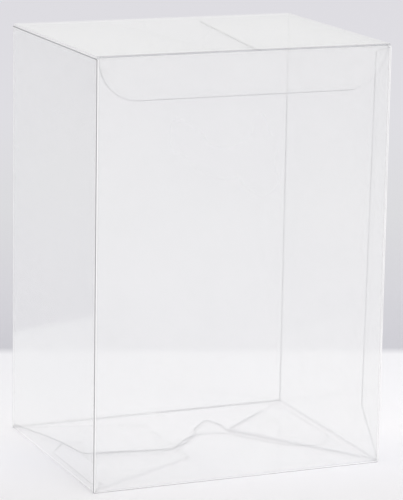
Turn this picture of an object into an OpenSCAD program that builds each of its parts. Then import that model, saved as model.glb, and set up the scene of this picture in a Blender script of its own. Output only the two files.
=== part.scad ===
// Clear folded film box with a tuck-in lid and a self-locking bottom.
// The box stands on its bottom, with its front wall towards -Y.
// The origin is the middle of the bottom, and lengths are in millimetres.

/* [Box] */
// Outside width, from the left wall to the right wall
box_w = 116; // [100:1:240]
// Outside depth, from the front wall to the back wall
box_d = 91; // [80:1:160]
// Outside height with the lid shut
box_h = 160; // [80:1:320]

/* [Film] */
// Thickness of the clear film
film_t = 0.5; // [0.3:0.05:0.6]
// Inside radius of each fold
fold_r = 0.2; // [0.1:0.05:0.4]
// Air between two flaps that lie on each other unglued
lap_gap = 0.1; // [0.05:0.05:0.2]

/* [Lid] */
// Air between the shut lid and the walls and flaps round it
lid_gap = 0.3; // [0.2:0.05:0.6]
// How far each side of the lid stands in from the outside of the box
lid_inset = 0.5; // [0.2:0.1:2]
// Length of the tuck flap, from the lid's front fold to its free edge
tuck_len = 17; // [15:0.5:30]
// Air between each end of the tuck flap and the nearest film
tuck_end_gap = 0.3; // [0.2:0.1:2]
// Radius of the tuck flap's two corners
tuck_corner_r = 16; // [3:0.5:20]

/* [Dust flaps] */
// Length of a dust flap at the front corner of its free end
dust_len_front = 51; // [20:1:54]
// Length of a dust flap at the back corner of its free end
dust_len_back = 41; // [20:1:54]
// Distance of the free end from the front wall
dust_end_front = 8; // [6:0.5:25]
// Distance of the free end from the back wall
dust_end_back = 5; // [4:0.5:25]
// Distance of the dust flap's fold from the front wall
dust_root_front = 3.5; // [3:0.5:6]
// Distance of the dust flap's fold from the back wall
dust_root_back = 2; // [1.5:0.5:4]
// Corner radius of a dust flap's free end
dust_corner_r = 2; // [1:0.5:6]
// How far the free end of the left dust flap hangs below its fold
left_droop = 0.3; // [0:0.1:4]
// How far the free end of the right dust flap hangs below its fold
right_droop = 0.4; // [0:0.1:4]

/* [Glue flap] */
// Reach of the glue flap along the right wall at its top
glue_top_reach = 11.9; // [8:0.1:20]
// Reach of the glue flap along the right wall at its foot
glue_foot_reach = 15; // [8:0.1:20]
// How far the top of the glue flap is cut down at its free edge
glue_top_cut = 3.5; // [1:0.5:6]
// Height of the slanted cut at the foot of the glue flap
glue_foot_cut = 17; // [6:0.5:24]

/* [Bottom flaps] */
// How far a glued ear stands off the side wall
ear_inset = 3.5; // [2:0.5:5]
// How far a glued ear reaches from its own fold
ear_reach = 64.5; // [50:0.5:66]
// Radius of the ear's outer corner
ear_r = 9; // [3:0.5:10]
// How far the locking throat lies to the right of the middle
throat_right = 5.3; // [3:0.1:8]
// How far the locking throat lies behind the middle
throat_back = 11; // [9:0.1:16]
// How far the rear flap's hook lies to the left of the middle
hook_left = 10.8; // [9:0.2:14]
// How far the rear flap's hook reaches in front of the middle
hook_front = 7.3; // [4:0.1:9]
// Distance of the rear flap's arm from the left wall
arm_inset = 12.4; // [11:0.2:18]
// How far the front flap's tongue reaches behind the throat
tongue_reach = 16.5; // [10:0.5:20]
// How far the front flap's tongue reaches to the right of the throat
tongue_right = 14; // [10:0.5:18]
// How far the front flap reaches in under the rear flap's arm
arm_lap = 3.3; // [2:0.1:5]
// Length of the left side flap, from its fold to its free end
left_flap_len = 49.5; // [38:0.5:52]
// Distance of the left side flap's free end from the front wall
left_flap_front = 28; // [20:0.5:32]
// Distance of the left side flap's free end from the back wall
left_flap_back = 16; // [12:0.5:24]
// Clear distance in plan between edges that meet without a lap
edge_gap = 0.5; // [0.3:0.1:1]

/* [Hidden] */
$fn = 48;

film_colour = [0.88, 0.91, 0.95, 0.45];
arc_steps = 8;
past = 1;
outer_r = fold_r + film_t;
wall_h = box_h - film_t - lid_gap;
mid_x = box_w / 2;
mid_y = box_d / 2;
inner_w = box_w - film_t;
glue_foot_z = 1.4;
glue_foot_r = 2;
glue_top_r = 1;

// The lid turns about the middle of the film at the top of the back wall.
hinge_y = box_d - film_t / 2;
hinge_z = box_h - film_t / 2;
tuck_y = film_t + lid_gap;
lid_span = hinge_y - tuck_y;
tuck_inset = 2 * film_t + tuck_end_gap;
// The round corner never takes up the whole length of the tuck flap.
tuck_r = min(tuck_corner_r, tuck_len - 0.5);
// The tuck flap leans in just enough that its free edge swings no further out than its fold.
tuck_lean = asin(tuck_len / (2 * lid_span));

// Heights of the bottom flaps: a main flap is lowest at its glued ear, a side flap lies on
// that ear, and each main flap's other half rises to lie over the flap that it locks with.
low_z = 0;
glued_z = film_t;
tongue_z = film_t + lap_gap;
arm_z = 2 * (film_t + lap_gap);

throat_x = mid_x + throat_right;
throat_y = mid_y + throat_back;
hook_x = mid_x - hook_left;
hook_y = mid_y - hook_front;
cross_w = 7.5;
tip_x = throat_x + tongue_right;
tip_y = throat_y + tongue_reach;

// Fine shape of the cuts between the bottom flaps
throat_r = 2;
hook_r = 4;
elbow_front = 1.6;
elbow_r = 3;
arm_root = [6.4, 28.8];
arm_bend = [3, 17.2];
saddle_in = 41;
saddle_drop = 1.2;
valley_in = 25;
valley_back = 5.5;
valley_r = 14;
shoulder = [3, 9.5];
tip_in = 2;
tip_bulge = 0.6;
tip_side_back = 9;
tip_corner_r = 1.5;
tip_side_r = 5;
tip_root_r = 4;
side_root = 1.5;
side_end_r = 1;
side_apex = [1, 1.5];
left_root_back = 3;
flap_step = 4;
nick_r = 0.5;
ear_foot = [1.6, 2.4];
ear_nick = [4.5, 11.6];
ear_heel = 10.8;
ear_slant = 11;
ear_end_in = 8.5;
ear_end_r = 6;
ear_end_w = 7;
ear_end_drop = 1.7;
ear_end_side_r = 1.5;

function unit(v) = v / norm(v);

// Points of the arc of radius r that rounds corner q between its neighbours p and n.
function corner_arc(p, q, n, r) =
    r == 0 ? [q] :
    let (
        u = unit(p - q),
        v = unit(n - q),
        half = acos(u * v) / 2,
        centre = q + unit(u + v) * r / sin(half),
        from = q + u * r / tan(half) - centre,
        start = atan2(from.y, from.x),
        turn = sign(cross(q - p, n - q)) * (180 - 2 * half)
    )
    [for (i = [0:arc_steps])
        centre + r * [cos(start + turn * i / arc_steps), sin(start + turn * i / arc_steps)]];

// Outline through corners given as [x, y, radius].
function rounded(corners) =
    let (
        count = len(corners),
        at = [for (c = corners) [c.x, c.y]]
    )
    [for (i = [0:count - 1])
        each corner_arc(at[(i + count - 1) % count], at[i], at[(i + 1) % count], corners[i].z)];

// The cut from the fold at the box's corner round the outside of a glued ear, as [u, v, radius]:
// u is the distance from the side wall and v the distance from the ear's own fold.
ear_edge = [
    [film_t, film_t / 2, 0],
    [ear_inset - ear_foot.x, ear_foot.y, 0],
    [ear_inset + ear_nick.x, ear_nick.y, nick_r],
    [ear_inset, ear_heel, nick_r],
    [ear_inset, ear_reach - ear_slant, ear_r],
    [ear_inset + ear_end_in, ear_reach, ear_end_r]
];

// Rectangle with round corners, from the front left corner of the box
module round_rect(w, d, r) {
    translate([r, 0]) square([w - 2 * r, d]);
    translate([0, r]) square([w, d - 2 * r]);
    for (x = [r, w - r], y = [r, d - r]) translate([x, y]) circle(r);
}

// Section of a wall ring that is folded from one strip of film
module ring(w, d) {
    difference() {
        round_rect(w, d, outer_r);
        translate([film_t, film_t]) round_rect(w - 2 * film_t, d - 2 * film_t, fold_r);
    }
}

// An outline in plan, given a height by a section along the width: the film
// lies at from_z left of step_x and at to_z past the gentle step
module stepped_sheet(outline, from_z, to_z, step_x, step_w) {
    intersection() {
        translate([0, 0, -past]) linear_extrude(arm_z + film_t + 2 * past) polygon(outline);
        translate([0, box_d, 0]) rotate([90, 0, 0]) linear_extrude(box_d) polygon([
            [0, from_z], [step_x, from_z], [step_x + step_w, to_z], [box_w, to_z],
            [box_w, to_z + film_t], [step_x + step_w, to_z + film_t],
            [step_x, from_z + film_t], [0, from_z + film_t]
        ]);
    }
}

// Four walls: the right wall is a free edge at the front, where it covers the glue flap
module walls() {
    linear_extrude(wall_h) {
        difference() {
            ring(box_w, box_d);
            translate([mid_x, -past]) square([box_w, outer_r + past]);
            translate([inner_w - past, -past]) square([box_w, outer_r + past + edge_gap / 2]);
        }
        intersection() {
            ring(inner_w, box_d);
            translate([mid_x, 0]) square([mid_x, outer_r]);
        }
    }
}

// Flap on the front wall that is glued to the inside of the right wall
module glue_flap() {
    side = rounded([
        [film_t, glue_foot_z, 0],
        [glue_foot_reach, glue_foot_z + glue_foot_cut, glue_foot_r],
        [glue_top_reach, wall_h - glue_top_cut, glue_top_r],
        [film_t, wall_h - film_t, 0]
    ]);
    translate([inner_w - film_t, 0, 0])
        rotate([90, 0, 90]) linear_extrude(film_t) polygon(side);
}

// Dust flap on the left wall, tilted down about its fold
module dust_flap(droop) {
    outline = rounded([
        [0, dust_root_front, 0],
        [dust_len_front, dust_end_front, dust_corner_r],
        [dust_len_back, box_d - dust_end_back, dust_corner_r],
        [0, box_d - dust_root_back, 0]
    ]);
    translate([0, 0, wall_h]) rotate([0, atan(droop / dust_len_front), 0])
        translate([0, 0, -film_t]) linear_extrude(film_t) polygon(outline);
}

// Rear main flap: its left arm lies over the left side flap and its right ear under the right one
module rear_flap() {
    ear = [for (c = ear_edge) [box_w - c.x, box_d - c.y, c.z]];
    outline = rounded(concat(ear, [
        [box_w - valley_in, box_d - ear_reach + valley_back, valley_r],
        [box_w - saddle_in, throat_y - saddle_drop, hook_r],
        [throat_x, throat_y, throat_r],
        [hook_x, hook_y, hook_r],
        [arm_inset, mid_y - elbow_front, elbow_r],
        [arm_inset - arm_bend.x, mid_y + arm_bend.y, 0],
        [arm_inset - arm_root.x, mid_y + arm_root.y, 0],
        [film_t, box_d - film_t / 2, 0]
    ]));
    stepped_sheet(outline, arm_z, low_z, throat_x - cross_w, cross_w);
}

// Front main flap: its left half lies under the rear flap's arm and its right tongue over the rear flap
module front_flap() {
    slope = (throat_y - hook_y) / (throat_x - hook_x);
    cross_x = throat_x - cross_w - edge_gap;
    outline = rounded(concat(ear_edge, [
        [ear_inset + ear_end_in + ear_end_w, ear_reach - ear_end_drop, ear_end_side_r],
        [arm_inset + side_root, mid_y - elbow_front + arm_lap, elbow_r],
        [hook_x, hook_y + arm_lap, hook_r],
        [cross_x, hook_y + (cross_x - hook_x) * slope - edge_gap, 0],
        [throat_x + edge_gap, throat_y - edge_gap, side_end_r],
        [throat_x + shoulder.x, tip_y - shoulder.y, 0],
        [tip_x - tip_in, tip_y, tip_corner_r],
        [tip_x + tip_bulge, tip_y - tip_side_back, tip_side_r],
        [tip_x, throat_y, tip_root_r],
        [box_w - film_t, film_t / 2, 0]
    ]));
    stepped_sheet(outline, low_z, tongue_z, throat_x - cross_w, cross_w);
}

// Left side flap, glued to the front flap's ear, with the rear flap's arm over it
module left_flap() {
    outline = rounded([
        [film_t / 2, side_root, 0],
        [left_flap_len, left_flap_front, side_end_r],
        [left_flap_len, box_d - left_flap_back, side_end_r],
        [film_t / 2, box_d - left_root_back, 0]
    ]);
    stepped_sheet(outline, glued_z, tongue_z, arm_inset, flap_step);
}

// Right side flap, glued to the rear flap's ear and cut along the front flap's tongue
module right_flap() {
    outline = rounded([
        [box_w - film_t / 2, side_root, 0],
        [box_w - film_t / 2, box_d - side_root, 0],
        [tip_x + edge_gap + side_apex.x, throat_y + side_apex.y, side_end_r]
    ]);
    stepped_sheet(outline, tongue_z, glued_z, box_w - arm_inset - flap_step, flap_step);
}

// Rounds the folds at the foot of all four walls and at the top of the side walls
module fold_envelope() {
    intersection() {
        translate([0, box_d + past, 0]) rotate([90, 0, 0])
            linear_extrude(box_d + 2 * past) round_rect(box_w, wall_h, outer_r);
        translate([-past, 0, 0]) rotate([90, 0, 90])
            linear_extrude(box_w + 2 * past) {
                round_rect(box_d, wall_h, outer_r);
                translate([0, mid_y]) square([box_d, wall_h - mid_y]);
            }
    }
}

// Walls, glue flap, dust flaps and bottom flaps: one folded sheet
module box_shell() {
    color(film_colour) translate([-mid_x, -mid_y, 0]) intersection() {
        union() {
            walls();
            glue_flap();
            dust_flap(left_droop);
            translate([box_w, 0, 0]) mirror([1, 0, 0]) dust_flap(right_droop);
            rear_flap();
            front_flap();
            left_flap();
            right_flap();
        }
        fold_envelope();
    }
}

// Section of the lid and its tuck flap across the box, with the fold between them
module lid_section() {
    along = [sin(tuck_lean), -cos(tuck_lean)];
    across = [cos(tuck_lean), sin(tuck_lean)];
    tip = [tuck_y, box_h] + tuck_len * along;
    inner_y = tuck_y + film_t * (1 + sin(tuck_lean)) / cos(tuck_lean);
    polygon(rounded([
        [hinge_y, box_h, 0],
        [tuck_y, box_h, outer_r],
        [tip.x, tip.y, 0],
        [tip.x + film_t * across.x, tip.y + film_t * across.y, 0],
        [inner_y, box_h - film_t, fold_r],
        [hinge_y, box_h - film_t, 0]
    ]));
    translate([hinge_y, hinge_z]) circle(film_t / 2);
}

// Outline of the lid seen from the front: full width at the top, round corners on the tuck flap
module lid_front() {
    right = box_w - tuck_inset;
    foot = box_h - tuck_len;
    translate([lid_inset, box_h - film_t]) square([box_w - 2 * lid_inset, film_t + past]);
    polygon(rounded([
        [tuck_inset, box_h, 0],
        [tuck_inset, foot, tuck_r],
        [right, foot, tuck_r],
        [right, box_h, 0]
    ]));
}

// Lid panel and tuck flap
module lid() {
    color(film_colour) translate([-mid_x, -mid_y, 0]) intersection() {
        rotate([90, 0, 90]) linear_extrude(box_w) lid_section();
        translate([0, box_d + past, 0]) rotate([90, 0, 0]) linear_extrude(box_d + 2 * past) lid_front();
    }
}

box_shell();
lid();
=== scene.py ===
import math

import bmesh
import bpy
from mathutils import Matrix, Vector


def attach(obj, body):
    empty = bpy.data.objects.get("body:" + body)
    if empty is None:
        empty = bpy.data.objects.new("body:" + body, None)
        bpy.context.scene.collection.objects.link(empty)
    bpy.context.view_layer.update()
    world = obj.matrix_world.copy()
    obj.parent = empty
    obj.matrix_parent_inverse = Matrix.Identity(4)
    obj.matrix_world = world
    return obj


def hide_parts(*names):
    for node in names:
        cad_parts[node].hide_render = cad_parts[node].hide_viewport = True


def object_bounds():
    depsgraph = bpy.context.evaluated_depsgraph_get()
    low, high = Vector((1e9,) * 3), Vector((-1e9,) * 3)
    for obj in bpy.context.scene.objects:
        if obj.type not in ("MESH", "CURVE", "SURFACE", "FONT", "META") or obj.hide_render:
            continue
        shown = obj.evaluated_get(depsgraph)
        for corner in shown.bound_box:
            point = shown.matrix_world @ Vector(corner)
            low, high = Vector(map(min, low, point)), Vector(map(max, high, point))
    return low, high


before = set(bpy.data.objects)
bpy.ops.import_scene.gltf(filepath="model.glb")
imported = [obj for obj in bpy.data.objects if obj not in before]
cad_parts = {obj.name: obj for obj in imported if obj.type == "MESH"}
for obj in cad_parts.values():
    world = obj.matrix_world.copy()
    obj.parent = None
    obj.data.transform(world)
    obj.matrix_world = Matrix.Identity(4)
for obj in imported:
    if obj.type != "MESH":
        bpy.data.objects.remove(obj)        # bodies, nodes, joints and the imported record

scene = bpy.context.scene
cadLow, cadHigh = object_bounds()
print("frame loaded:", ", ".join(sorted(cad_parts)))

# The folded sheet, in metres
sheet = {
    "thickness": 0.0005,
    "foldRadius": 0.0002,     # inside radius of every fold
    "lidGap": 0.0003,
    "bottomTop": 0.002,       # height that the bottom flaps stay below
    "dustFlapDrop": 0.002,    # depth below the walls' top that the dust flaps stay above
    "armEnd": -0.002,         # where the bottom's raised arm ends along the back wall
    "backStrip": 0.04,        # the back wall's foot fold lies behind this
    "seamStrip": 0.056,       # the glue flap lies to the right of this
}
outerRadius = sheet["foldRadius"] + sheet["thickness"]
wallTop = cadHigh.z - sheet["thickness"] - sheet["lidGap"]
dustFlapFoot = wallTop - sheet["dustFlapDrop"]

# Where the photograph was taken from, round the middle of the box's foot
photoView = {
    "azimuth": -23.057,
    "elevation": 12.494,
    "roll": 0.953,
    "distance": 1.02531,
    "rise": 0.07524,          # how far the view's centre lies above the foot
    "side": 0.0035,           # and to its right
    "focalPixels": 2651.4,
    "imageWidth": 403,
    "imageHeight": 500,
    "sensor": 36,
    "nearest": 0.01,
    "farthest": 100,
}

# The studio: a white floor that turns to a pale grey backdrop
studio = {
    "floorSize": 14,
    "horizonRow": 350.5,      # row of the photograph where the backdrop starts
    "worldLight": 0.85,
    "keyPower": 46,
    "keySize": 2.2,
    "keyPlace": (0.7, -2.6, 2.8),
}
# Colours of the floor and backdrop by distance past the line where they meet, in metres; the floor
# carries a painted pool of light in a band beside the box, fading towards the camera and towards the
# backdrop
floorBands = [
    (-0.210, (0.820, 0.810, 0.820)),
    (-0.164, (0.870, 0.865, 0.890)),
    (-0.120, (0.935, 0.925, 0.940)),
    (-0.075, (0.905, 0.900, 0.920)),
    (-0.005, (0.870, 0.865, 0.890)),
    (0.004, (0.605, 0.600, 0.640)),
    (0.120, (0.655, 0.650, 0.685)),
    (0.300, (0.700, 0.700, 0.720)),
    (0.600, (0.740, 0.735, 0.770)),
    (1.200, (0.760, 0.750, 0.790)),
]


# Node helpers

noiseLow, noiseHigh = 0.3, 0.7        # range that most of a noise's values lie in


def newMaterial(name):
    material = bpy.data.materials.new(name)
    material.use_nodes = True
    material.node_tree.nodes.clear()
    return material


def addNode(material, kind, **settings):
    node = material.node_tree.nodes.new(kind)
    for key, value in settings.items():
        setattr(node, key, value)
    return node


def link(material, source, target):
    material.node_tree.links.new(source, target)


def objectNoise(material, scale, detail):
    place = addNode(material, "ShaderNodeTexCoord")
    noise = addNode(material, "ShaderNodeTexNoise")
    noise.inputs["Scale"].default_value = scale
    noise.inputs["Detail"].default_value = detail
    link(material, place.outputs["Object"], noise.inputs["Vector"])
    return noise.outputs["Fac"]


def mapRange(material, source, low, high, fromLow=noiseLow, fromHigh=noiseHigh):
    node = addNode(material, "ShaderNodeMapRange")
    node.inputs["From Min"].default_value = fromLow
    node.inputs["From Max"].default_value = fromHigh
    node.inputs["To Min"].default_value = low
    node.inputs["To Max"].default_value = high
    link(material, source, node.inputs["Value"])
    return node.outputs["Result"]


# Clear film: a thin haze, paler towards the foot because painted shade darkens it towards the top,
# under a glossy face that mirrors more at a slant

clearFilm = {
    "palest": (1.0, 1.0, 1.0),
    "greyest": (0.975, 0.977, 0.985),
    "cloudScale": 11,
    "cloudDetail": 3,
    "topShade": 0.94,         # painted shade: how much darker the haze is at the top of the box
    "topShadeFrom": 0.055,    # height above the foot at which it starts to darken
    "wallHaze": (0.13, 0.17),
    "lidHaze": (0.03, 0.05),
    "flapHaze": (0.03, 0.05),
    "glow": 1.0,              # light that the haze lets through, for each part that it sends back
    "mirror": 0.049,          # share that one face mirrors from straight on
    "mirrorRough": 0.09,
    "slantPower": 5,          # how late the mirror grows towards a full slant
    "lampsPass": 0.8,         # share of the lamps' light that goes straight through
    "roughLow": 0.10,
    "roughHigh": 0.20,
    "ior": 1.57,
    "ripple": 0.04,
    "rippleHeight": 0.0005,
    "rippleScale": 38,
    "rippleDetail": 2,
}


def makeFilm(name, haze):
    film = newMaterial(name)
    place = addNode(film, "ShaderNodeTexCoord")
    height = addNode(film, "ShaderNodeSeparateXYZ")
    link(film, place.outputs["Object"], height.inputs["Vector"])
    cloud = objectNoise(film, clearFilm["cloudScale"], clearFilm["cloudDetail"])
    tint = addNode(film, "ShaderNodeMix", data_type="RGBA")
    tint.inputs["A"].default_value = (*clearFilm["greyest"], 1)
    tint.inputs["B"].default_value = (*clearFilm["palest"], 1)
    link(film, mapRange(film, cloud, 0, 1), tint.inputs["Factor"])
    # Painted shade: the haze colour darkens towards the top of the box
    shade = addNode(film, "ShaderNodeVectorMath", operation="SCALE")
    link(film, tint.outputs["Result"], shade.inputs[0])
    fade = mapRange(
        film, height.outputs["Z"], 1, clearFilm["topShade"], clearFilm["topShadeFrom"], cadHigh.z
    )
    link(film, fade, shade.inputs["Scale"])

    shader = addNode(film, "ShaderNodeBsdfPrincipled")
    shader.inputs["IOR"].default_value = clearFilm["ior"]
    link(film, shade.outputs["Vector"], shader.inputs["Base Color"])
    link(film, mapRange(film, cloud, *haze), shader.inputs["Alpha"])
    fine = objectNoise(film, clearFilm["rippleScale"], clearFilm["rippleDetail"])
    rough = mapRange(film, fine, clearFilm["roughLow"], clearFilm["roughHigh"])
    link(film, rough, shader.inputs["Roughness"])
    bump = addNode(film, "ShaderNodeBump")
    bump.inputs["Strength"].default_value = clearFilm["ripple"]
    bump.inputs["Distance"].default_value = clearFilm["rippleHeight"]
    link(film, fine, bump.inputs["Height"])
    link(film, bump.outputs["Normal"], shader.inputs["Normal"])

    through = addNode(film, "ShaderNodeBsdfTranslucent")
    link(film, shade.outputs["Vector"], through.inputs["Color"])
    hazy = addNode(film, "ShaderNodeMixShader")
    hazy.inputs["Fac"].default_value = clearFilm["glow"] * haze[1]
    link(film, shader.outputs["BSDF"], hazy.inputs[1])
    link(film, through.outputs["BSDF"], hazy.inputs[2])

    slant = addNode(film, "ShaderNodeLayerWeight")
    slant.inputs["Blend"].default_value = 0.5        # Facing is then 1 less the cosine
    steep = addNode(film, "ShaderNodeMath", operation="POWER")
    steep.inputs[1].default_value = clearFilm["slantPower"]
    link(film, slant.outputs["Facing"], steep.inputs[0])
    gloss = addNode(film, "ShaderNodeBsdfGlossy")
    gloss.inputs["Color"].default_value = (1, 1, 1, 1)
    gloss.inputs["Roughness"].default_value = clearFilm["mirrorRough"]
    link(film, bump.outputs["Normal"], gloss.inputs["Normal"])
    face = addNode(film, "ShaderNodeMixShader")
    mirrored = mapRange(film, steep.outputs["Value"], clearFilm["mirror"], 1, 0, 1)
    link(film, mirrored, face.inputs["Fac"])
    link(film, hazy.outputs["Shader"], face.inputs[1])
    link(film, gloss.outputs["BSDF"], face.inputs[2])

    # Lamps shine through the clear part of the film, which stops little of their light
    ray = addNode(film, "ShaderNodeLightPath")
    dim = mapRange(film, ray.outputs["Is Shadow Ray"], 0, clearFilm["lampsPass"], 0, 1)
    clear = addNode(film, "ShaderNodeBsdfTransparent")
    lit = addNode(film, "ShaderNodeMixShader")
    link(film, dim, lit.inputs["Fac"])
    link(film, face.outputs["Shader"], lit.inputs[1])
    link(film, clear.outputs["BSDF"], lit.inputs[2])
    output = addNode(film, "ShaderNodeOutputMaterial")
    link(film, lit.outputs["Shader"], output.inputs["Surface"])
    return film


# Lines of the sheet: creased and cut film catches less light than the flat of it, so its creases and
# cut edges get painted shade as dark lines, with painted highlights beside them

lineLooks = {
    # painted shade: dark lines on the folds' crests and on cut edges
    "deepCrest": {"colour": (0.06, 0.06, 0.07), "alpha": 0.95, "rough": 0.35},
    "flapEnd": {"colour": (0.12, 0.12, 0.13), "alpha": 0.90, "rough": 0.35},
    "darkCrest": {"colour": (0.26, 0.26, 0.28), "alpha": 0.88, "rough": 0.35},
    "softCrest": {"colour": (0.40, 0.40, 0.42), "alpha": 0.62, "rough": 0.35},
    "faintCrest": {"colour": (0.55, 0.55, 0.57), "alpha": 0.40, "rough": 0.35},
    # painted highlight on the flanks of a fold beside its dark crest
    "foldHighlight": {"colour": (1.0, 1.0, 1.0), "alpha": 0.85, "rough": 0.20},
    "cutEdge": {"colour": (0.30, 0.30, 0.32), "alpha": 0.80, "rough": 0.40},
    "faintEdge": {"colour": (0.50, 0.50, 0.52), "alpha": 0.42, "rough": 0.40},
    # painted highlight along the walls' tops, the lid's sides and the front right corner
    "edgeHighlight": {"colour": (0.98, 0.98, 0.98), "alpha": 0.88, "rough": 0.25},
}
# Random variation along the painted shade and highlight lines, as shares of each look's colour and
# alpha
lineVariation = {
    "scale": 60,
    "detail": 2,
    "darkest": 0.9,
    "palest": 1.1,
    "thinnest": 0.85,
    "fullest": 1.1,
}


def makeLine(name):
    look = lineLooks[name]
    line = newMaterial(name)
    shader = addNode(line, "ShaderNodeBsdfPrincipled")
    output = addNode(line, "ShaderNodeOutputMaterial")
    shader.inputs["IOR"].default_value = clearFilm["ior"]
    shader.inputs["Roughness"].default_value = look["rough"]
    uneven = objectNoise(line, lineVariation["scale"], lineVariation["detail"])
    darkest = [c * lineVariation["darkest"] for c in look["colour"]]
    palest = [min(1, c * lineVariation["palest"]) for c in look["colour"]]
    tint = addNode(line, "ShaderNodeMix", data_type="RGBA")
    tint.inputs["A"].default_value = (*darkest, 1)
    tint.inputs["B"].default_value = (*palest, 1)
    link(line, uneven, tint.inputs["Factor"])
    link(line, tint.outputs["Result"], shader.inputs["Base Color"])
    thinnest, fullest = (look["alpha"] * lineVariation[k] for k in ("thinnest", "fullest"))
    link(line, mapRange(line, uneven, thinnest, fullest), shader.inputs["Alpha"])
    link(line, shader.outputs["BSDF"], output.inputs["Surface"])
    return line


looks = {
    "wallFilm": makeFilm("wallFilm", clearFilm["wallHaze"]),
    "lidFilm": makeFilm("lidFilm", clearFilm["lidHaze"]),
    "flapFilm": makeFilm("flapFilm", clearFilm["flapHaze"]),
}
for lineName in lineLooks:
    looks[lineName] = makeLine(lineName)
zones = list(looks)
print("materials made:", len(looks))


# The sheet's faces, sorted into flat film, folds and cut edges; folds and cut edges get painted shade
# and painted highlights

foldMiddle = 45        # degrees from a fold's flat side to the middle of its arc
# Half width of the dark crest of painted shade on each kind of fold, in degrees of its arc; the rest
# of the arc gets a painted highlight
crestAngle = {
    "corner": 17,
    "backCorner": 23,
    "foot": 20,
    "backFoot": 40,
    "lid": 36,
    "shoulder": 18,
}
# How far a face's direction leans towards an axis, from 0 for not at all to 1 for straight at it
lean = {
    "along": 0.1,             # less than this and the face runs along the axis
    "corner": 0.05,           # an upright fold leans more than this both ways
    "cornerSide": 0.4,        # side of the front right fold, next to the right wall
    "leftCrest": 0.15,        # crest of the left foot fold, as the difference of its two leans
    "tuckRight": 0.2,         # round right end of the tuck flap
    "half": 0.5,
    "earSide": 0.7,           # outer side of the rear right ear
    "straight": 0.9,
    "shoulderEnd": 0.98,      # past these three the face is flat and no longer part of a fold
    "level": 0.99,
    "footEnd": 0.995,
}
# Small distances that tell one part of the sheet from its neighbour, in metres
margin = {
    "wallTop": 0.0001,
    "inside": 0.0002,
    "seamEdge": 0.0005,
    "innerFace": sheet["thickness"] * 1.1,        # just past the inner face of a side wall
}
# Cut edges of the bottom flaps that hardly show, in metres from the middle of the box
faintFlaps = {
    "leftSideEnd": -0.008,    # the left side flap lies to the left of this
    "sideFlapTop": 2.4,       # and below this many thicknesses
    "nickX": 0.035,           # nick at the foot of the rear right ear
    "nickY": 0.03,
    "earX": 0.04,             # the rear right ear's outer side lies to the right of this
    "rightSideEnd": 0.008,    # the right side flap lies to the right of this
}


def arcZone(first, second, kind, crest):
    angle = math.degrees(math.atan2(abs(first), abs(second)))
    return crest if abs(angle - foldMiddle) < crestAngle[kind] else "foldHighlight"


def footZone(normal):
    nx, ny, nz = normal
    if abs(nx) > abs(ny):
        if nx < 0:
            return "faintEdge" if abs(abs(nx) - abs(nz)) < lean["leftCrest"] else "flapFilm"
        return arcZone(nx, nz, "backFoot", "softCrest")
    if ny < 0:
        return arcZone(ny, nz, "foot", "faintCrest")
    return arcZone(ny, nz, "backFoot", "darkCrest")


def cornerZone(centre, normal):
    if centre.y < 0:
        return arcZone(normal.x, normal.y, "corner", "darkCrest")
    return arcZone(normal.x, normal.y, "backCorner", "darkCrest" if centre.x > 0 else "faintCrest")


# Which cut edges of the flaps show as dark lines of painted shade, and which hardly show
def flapEdgeZone(centre, normal):
    x, y, z = centre
    if z > dustFlapFoot:
        return "flapEnd" if x > 0 and normal.x < -lean["half"] else "faintEdge"
    sideFlap = sheet["thickness"] < z < sheet["thickness"] * faintFlaps["sideFlapTop"]
    if sideFlap and x < faintFlaps["leftSideEnd"]:
        return "faintEdge"
    nick = x > faintFlaps["nickX"] and y > faintFlaps["nickY"]
    earSide = x > faintFlaps["earX"] and normal.x > lean["earSide"] and normal.y > -lean["along"]
    rightSide = x > faintFlaps["rightSideEnd"] and z > sheet["thickness"]
    faint = nick or earSide or (rightSide and normal.y < -lean["half"])
    return "faintEdge" if faint else "cutEdge"


def shellZone(centre, normal):
    x, y, z = abs(centre.x), abs(centre.y), centre.z
    nx, ny, nz = normal
    inX = cadHigh.x - outerRadius
    inY = cadHigh.y - outerRadius
    seamX = inX - sheet["thickness"]
    insideX = cadHigh.x - margin["innerFace"]
    outerArc = math.hypot(x - inX, y - inY) > sheet["thickness"]
    if -lean["footEnd"] < nz < -lean["along"] and z < outerRadius:
        return footZone(normal)
    if lean["along"] < nz < lean["shoulderEnd"] and z > wallTop - outerRadius and x > inX:
        return arcZone(nx, nz, "shoulder", "darkCrest" if nx < 0 else "faintCrest")
    if abs(nz) < lean["along"] and min(abs(nx), abs(ny)) > lean["corner"]:
        if centre.x > seamX and centre.y < -inY:
            return "softCrest" if nx > lean["cornerSide"] and outerArc else "edgeHighlight"
        if x > inX and y > inY and outerArc:
            return cornerZone(centre, normal)
    if nz > lean["level"] and z > wallTop - margin["wallTop"] and y > inY:
        return "edgeHighlight"
    rightWall = centre.x > cadHigh.x - sheet["thickness"] and y < inY + margin["seamEdge"]
    if rightWall and ny < -lean["straight"]:
        return "edgeHighlight"
    if x < insideX and y < inY - margin["inside"]:
        if centre.x > seamX:
            return "cutEdge" if abs(nx) < lean["half"] else "wallFilm"
        if abs(nz) < lean["half"] and (z < sheet["bottomTop"] or z > dustFlapFoot):
            return flapEdgeZone(centre, normal)
    return "flapFilm" if abs(nz) > lean["straight"] else "wallFilm"


def lidZone(centre, normal):
    nx, ny, nz = normal
    foldBack = cadLow.y + sheet["lidGap"] + sheet["thickness"] + outerRadius
    sloping = lean["along"] < nz < lean["footEnd"] and ny < 0
    if centre.y < foldBack and abs(nx) < lean["along"] and sloping:
        return arcZone(ny, nz, "lid", "softCrest")
    if abs(nx) > lean["straight"] and centre.z > wallTop:
        return "edgeHighlight"
    if abs(ny) < lean["half"] and centre.z < wallTop:
        return "faintEdge" if nx > lean["tuckRight"] else "cutEdge"
    return "lidFilm" if abs(nz) > lean["straight"] else "flapFilm"


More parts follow.
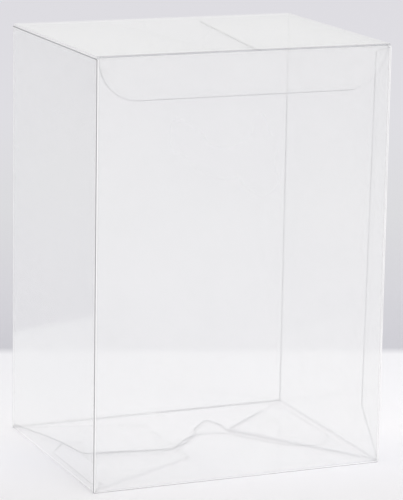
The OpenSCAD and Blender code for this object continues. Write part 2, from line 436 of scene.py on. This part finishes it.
# A cut edge also shows as a fine line of painted shade on both faces of the sheet, because light
# leaves there

edgeLines = {
    "width": 0.0002,
    "endWidth": 0.0006,       # along the free end of the right dust flap
    "shares": (1, 0.6, 0.3),  # of the width, tried in turn until the line fits its face
    "rootStrip": 0.0013,      # strip of a flap beside its fold that holds no line
    "weld": 1e-6,             # points nearer than this are joined
    "cut": 1e-7,              # and a cut this near to a point goes through it
    "flatAngle": 0.3,         # degrees under which two faces count as one
    "flipped": -1e-13,        # a triangle below this faces the wrong way
}


# True where a face that is inset this far doesn't cross itself
def insetHolds(face, width):
    trial = bmesh.new()
    alone = trial.faces.new([trial.verts.new(vert.co) for vert in face.verts])
    alone.normal_update()
    bmesh.ops.inset_individual(trial, faces=[alone], thickness=width, use_even_offset=False)
    holds = True
    for corners in trial.calc_loop_triangles():
        first, second, third = (corner.vert.co for corner in corners)
        if (second - first).cross(third - first).dot(face.normal) < edgeLines["flipped"]:
            holds = False
    trial.free()
    return holds


# Draws a line on the wanted faces beside the marked ones, in the look of the marked face
def drawLine(work, marked, wanted, width):
    beside = {
        other for face in marked for edge in face.edges for other in edge.link_faces
        if other not in marked and other.calc_area() > width * other.calc_perimeter() and wanted(other)
    }
    work.normal_update()
    work.faces.index_update()
    order = sorted(beside, key=lambda face: face.index)
    band = []
    for share in edgeLines["shares"]:
        fitting = [face for face in order if insetHolds(face, width * share)]
        order = [face for face in order if face not in fitting]
        band += bmesh.ops.inset_individual(
            work, faces=fitting, thickness=width * share, use_even_offset=False
        )["faces"]
    print("lines drawn beside faces:", len(beside) - len(order), "left plain:", len(order))
    for face in band:
        for edge in face.edges:
            for other in edge.link_faces:
                if other in marked:
                    face.material_index = other.material_index


def cutFaces(work, faces, place, across):
    edges = {edge for face in faces for edge in face.edges}
    verts = {vert for face in faces for vert in face.verts}
    bmesh.ops.bisect_plane(
        work, geom=[*faces, *edges, *verts], dist=edgeLines["cut"], plane_co=place, plane_no=across
    )


def backFootCrest(work):
    dark = zones.index("darkCrest")
    return [
        face for face in work.faces
        if face.material_index == dark and face.calc_center_median().z < outerRadius
        and face.calc_center_median().y > sheet["backStrip"]
    ]


# The back wall's foot fold gets darker painted shade to the left of the bottom's raised arm
def deepenBackFoot(work):
    crest = [face for face in backFootCrest(work) if abs(face.normal.y) > lean["along"]]
    if crest:
        cutFaces(work, crest, (sheet["armEnd"], 0, 0), (1, 0, 0))
    for face in backFootCrest(work):
        if face.calc_center_median().x < sheet["armEnd"]:
            face.material_index = zones.index("deepCrest")


def drawEdgeLines(mesh):
    work = bmesh.new()
    work.from_mesh(mesh)
    bmesh.ops.remove_doubles(work, verts=work.verts, dist=edgeLines["weld"])
    deepenBackFoot(work)
    bmesh.ops.dissolve_limit(
        work, angle_limit=math.radians(edgeLines["flatAngle"]),
        verts=work.verts, edges=work.edges, delimit={"MATERIAL"}
    )
    for axis, reach in ((0, cadHigh.x), (1, cadHigh.y)):
        for side in (-1, 1):
            flat = [face for face in work.faces if abs(face.normal.z) > lean["level"]]
            place, across = Vector(), Vector()
            place[axis], across[axis] = side * (reach - edgeLines["rootStrip"]), 1
            cutFaces(work, flat, place, across)

    cuts = [zones.index("cutEdge"), zones.index("faintEdge")]
    lined = set()        # all the cut edges but those of the dust flaps
    for face in work.faces:
        middle = face.calc_center_median()
        if face.material_index in cuts and (middle.z < dustFlapFoot or middle.x > sheet["seamStrip"]):
            lined.add(face)
    drawLine(work, lined, lambda face: face.material_index not in cuts, edgeLines["width"])

    end = zones.index("flapEnd")
    ends = {face for face in work.faces if face.material_index == end}
    drawLine(work, ends, lambda face: abs(face.normal.z) > lean["straight"], edgeLines["endWidth"])
    work.to_mesh(mesh)
    work.free()


def sheetPiece(name, node, body, zoneOf):
    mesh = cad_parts[node].data.copy()
    mesh.materials.clear()
    for look in looks.values():
        mesh.materials.append(look)
    for face in mesh.polygons:
        face.material_index = zones.index(zoneOf(face.center, face.normal))
        face.use_smooth = False
    drawEdgeLines(mesh)
    piece = bpy.data.objects.new(name, mesh)
    scene.collection.objects.link(piece)
    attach(piece, body)
    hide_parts(node)
    return piece


foldedBox = sheetPiece("foldedBox", "box_shell", "box", shellZone)
hingedLid = sheetPiece("hingedLid", "lid", "lid", lidZone)
print("pieces made:", foldedBox.name, hingedLid.name)


# Camera

def viewAxes():
    azimuth, elevation, roll = (math.radians(photoView[k]) for k in ("azimuth", "elevation", "roll"))
    forward = Vector((
        -math.sin(azimuth) * math.cos(elevation),
        math.cos(azimuth) * math.cos(elevation),
        -math.sin(elevation),
    ))
    level = Vector((math.cos(azimuth), math.sin(azimuth), 0))
    above = level.cross(forward)
    right = math.cos(roll) * level + math.sin(roll) * above
    up = -math.sin(roll) * level + math.cos(roll) * above
    return right, up, forward


viewRight, viewUp, viewForward = viewAxes()
cameraPlace = (
    viewRight * photoView["side"] + viewUp * photoView["rise"] - viewForward * photoView["distance"]
)


def makeCamera():
    lens = bpy.data.cameras.new("photoCamera")
    lens.sensor_width = photoView["sensor"]
    lens.lens = photoView["sensor"] * photoView["focalPixels"] / photoView["imageHeight"]
    lens.clip_start = photoView["nearest"]
    lens.clip_end = photoView["farthest"]
    camera = bpy.data.objects.new("photoCamera", lens)
    turned = Matrix((viewRight, viewUp, -viewForward)).transposed().to_4x4()
    camera.matrix_world = Matrix.Translation(cameraPlace) @ turned
    scene.collection.objects.link(camera)
    scene.camera = camera


makeCamera()


# Stage and light

# The point on the floor that the photograph shows at this column and row
def floorPoint(column, row):
    across = (column - photoView["imageWidth"] / 2) / photoView["focalPixels"]
    down = (row - photoView["imageHeight"] / 2) / photoView["focalPixels"]
    ray = viewForward + viewRight * across - viewUp * down
    return cameraPlace - ray * (cameraPlace.z / ray.z)


def makeFloorLook():
    look = newMaterial("studioFloor")
    shader = addNode(look, "ShaderNodeBsdfDiffuse")
    output = addNode(look, "ShaderNodeOutputMaterial")
    place = addNode(look, "ShaderNodeTexCoord")
    split = addNode(look, "ShaderNodeSeparateXYZ")
    link(look, place.outputs["Object"], split.inputs["Vector"])
    first, last = floorBands[0][0], floorBands[-1][0]
    # The floor's painted pool of light beside the box comes in with these colours
    bands = addNode(look, "ShaderNodeValToRGB")
    stops = bands.color_ramp.elements
    stops.remove(stops[1])
    for distance, colour in floorBands:
        at = (distance - first) / (last - first)
        stop = stops[0] if distance == first else stops.new(at)
        stop.position = at
        stop.color = (*colour, 1)
    link(look, mapRange(look, split.outputs["Y"], 0, 1, first, last), bands.inputs["Fac"])
    link(look, bands.outputs["Color"], shader.inputs["Color"])
    link(look, shader.outputs["BSDF"], output.inputs["Surface"])
    return look


def makeFloor():
    left = floorPoint(0, studio["horizonRow"])
    right = floorPoint(photoView["imageWidth"], studio["horizonRow"])
    along = (right - left).normalized()
    angle = math.atan2(along.y, along.x)
    half = studio["floorSize"] / 2
    corners = [(-half, -half, 0), (half, -half, 0), (half, half, 0), (-half, half, 0)]
    mesh = bpy.data.meshes.new("studioFloor")
    mesh.from_pydata(corners, [], [(0, 1, 2, 3)])
    mesh.materials.append(makeFloorLook())
    floor = bpy.data.objects.new("studioFloor", mesh)
    floor.matrix_world = Matrix.Translation((left + right) / 2) @ Matrix.Rotation(angle, 4, "Z")
    scene.collection.objects.link(floor)


def makeLight():
    world = bpy.data.worlds.new("softStudio")
    world.use_nodes = True
    sky = world.node_tree.nodes["Background"]
    sky.inputs["Color"].default_value = (1, 1, 1, 1)
    sky.inputs["Strength"].default_value = studio["worldLight"]
    scene.world = world
    lamp = bpy.data.lights.new("keySoftbox", "AREA")
    lamp.energy = studio["keyPower"]
    lamp.size = studio["keySize"]
    key = bpy.data.objects.new("keySoftbox", lamp)
    key.location = studio["keyPlace"]
    key.rotation_euler = (-key.location).to_track_quat("-Z", "Y").to_euler()
    scene.collection.objects.link(key)


makeFloor()
makeLight()
scene.view_settings.view_transform = "Standard"
scene.cycles.transparent_max_bounces = 64        # a ray crosses many faces of film
scene.cycles.max_bounces = 24
scene.cycles.glossy_bounces = 16
scene.cycles.diffuse_bounces = 12
print("studio ready")
